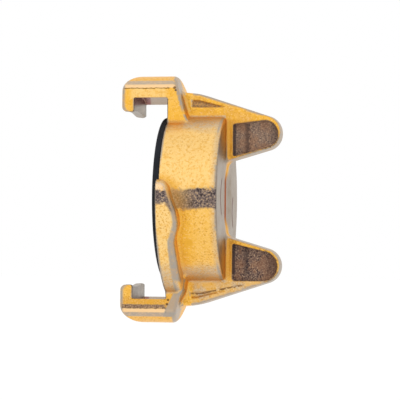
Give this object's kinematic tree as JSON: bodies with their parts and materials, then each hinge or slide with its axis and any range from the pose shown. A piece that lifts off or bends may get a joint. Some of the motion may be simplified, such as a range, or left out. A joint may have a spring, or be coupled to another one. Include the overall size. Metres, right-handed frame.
{
  "type": "blind claw hose coupling",
  "caption": "Blanking half of a quick claw coupling: closed brass barrel with two hooked claws, ramped flange segments, finger wings and a rubber face seal.",
  "frame": {"origin": "on the coupling axis, in the plane of the seal crest, where it meets the mating half", "axes": "-X out of the mouth towards the mating half, +X towards the closed rear wall and the wings, +Z through the upper claw and upper wing"},
  "size_m": [0.0379, 0.0476, 0.0598],
  "materials": {
    "brass": "hot pressed and blasted, satin",
    "seal_rubber": "matte moulded"
  },
  "bodies": {
    "root": {"coupling_body": "brass", "face_seal": "seal_rubber"}
  },
  "joints": []
}
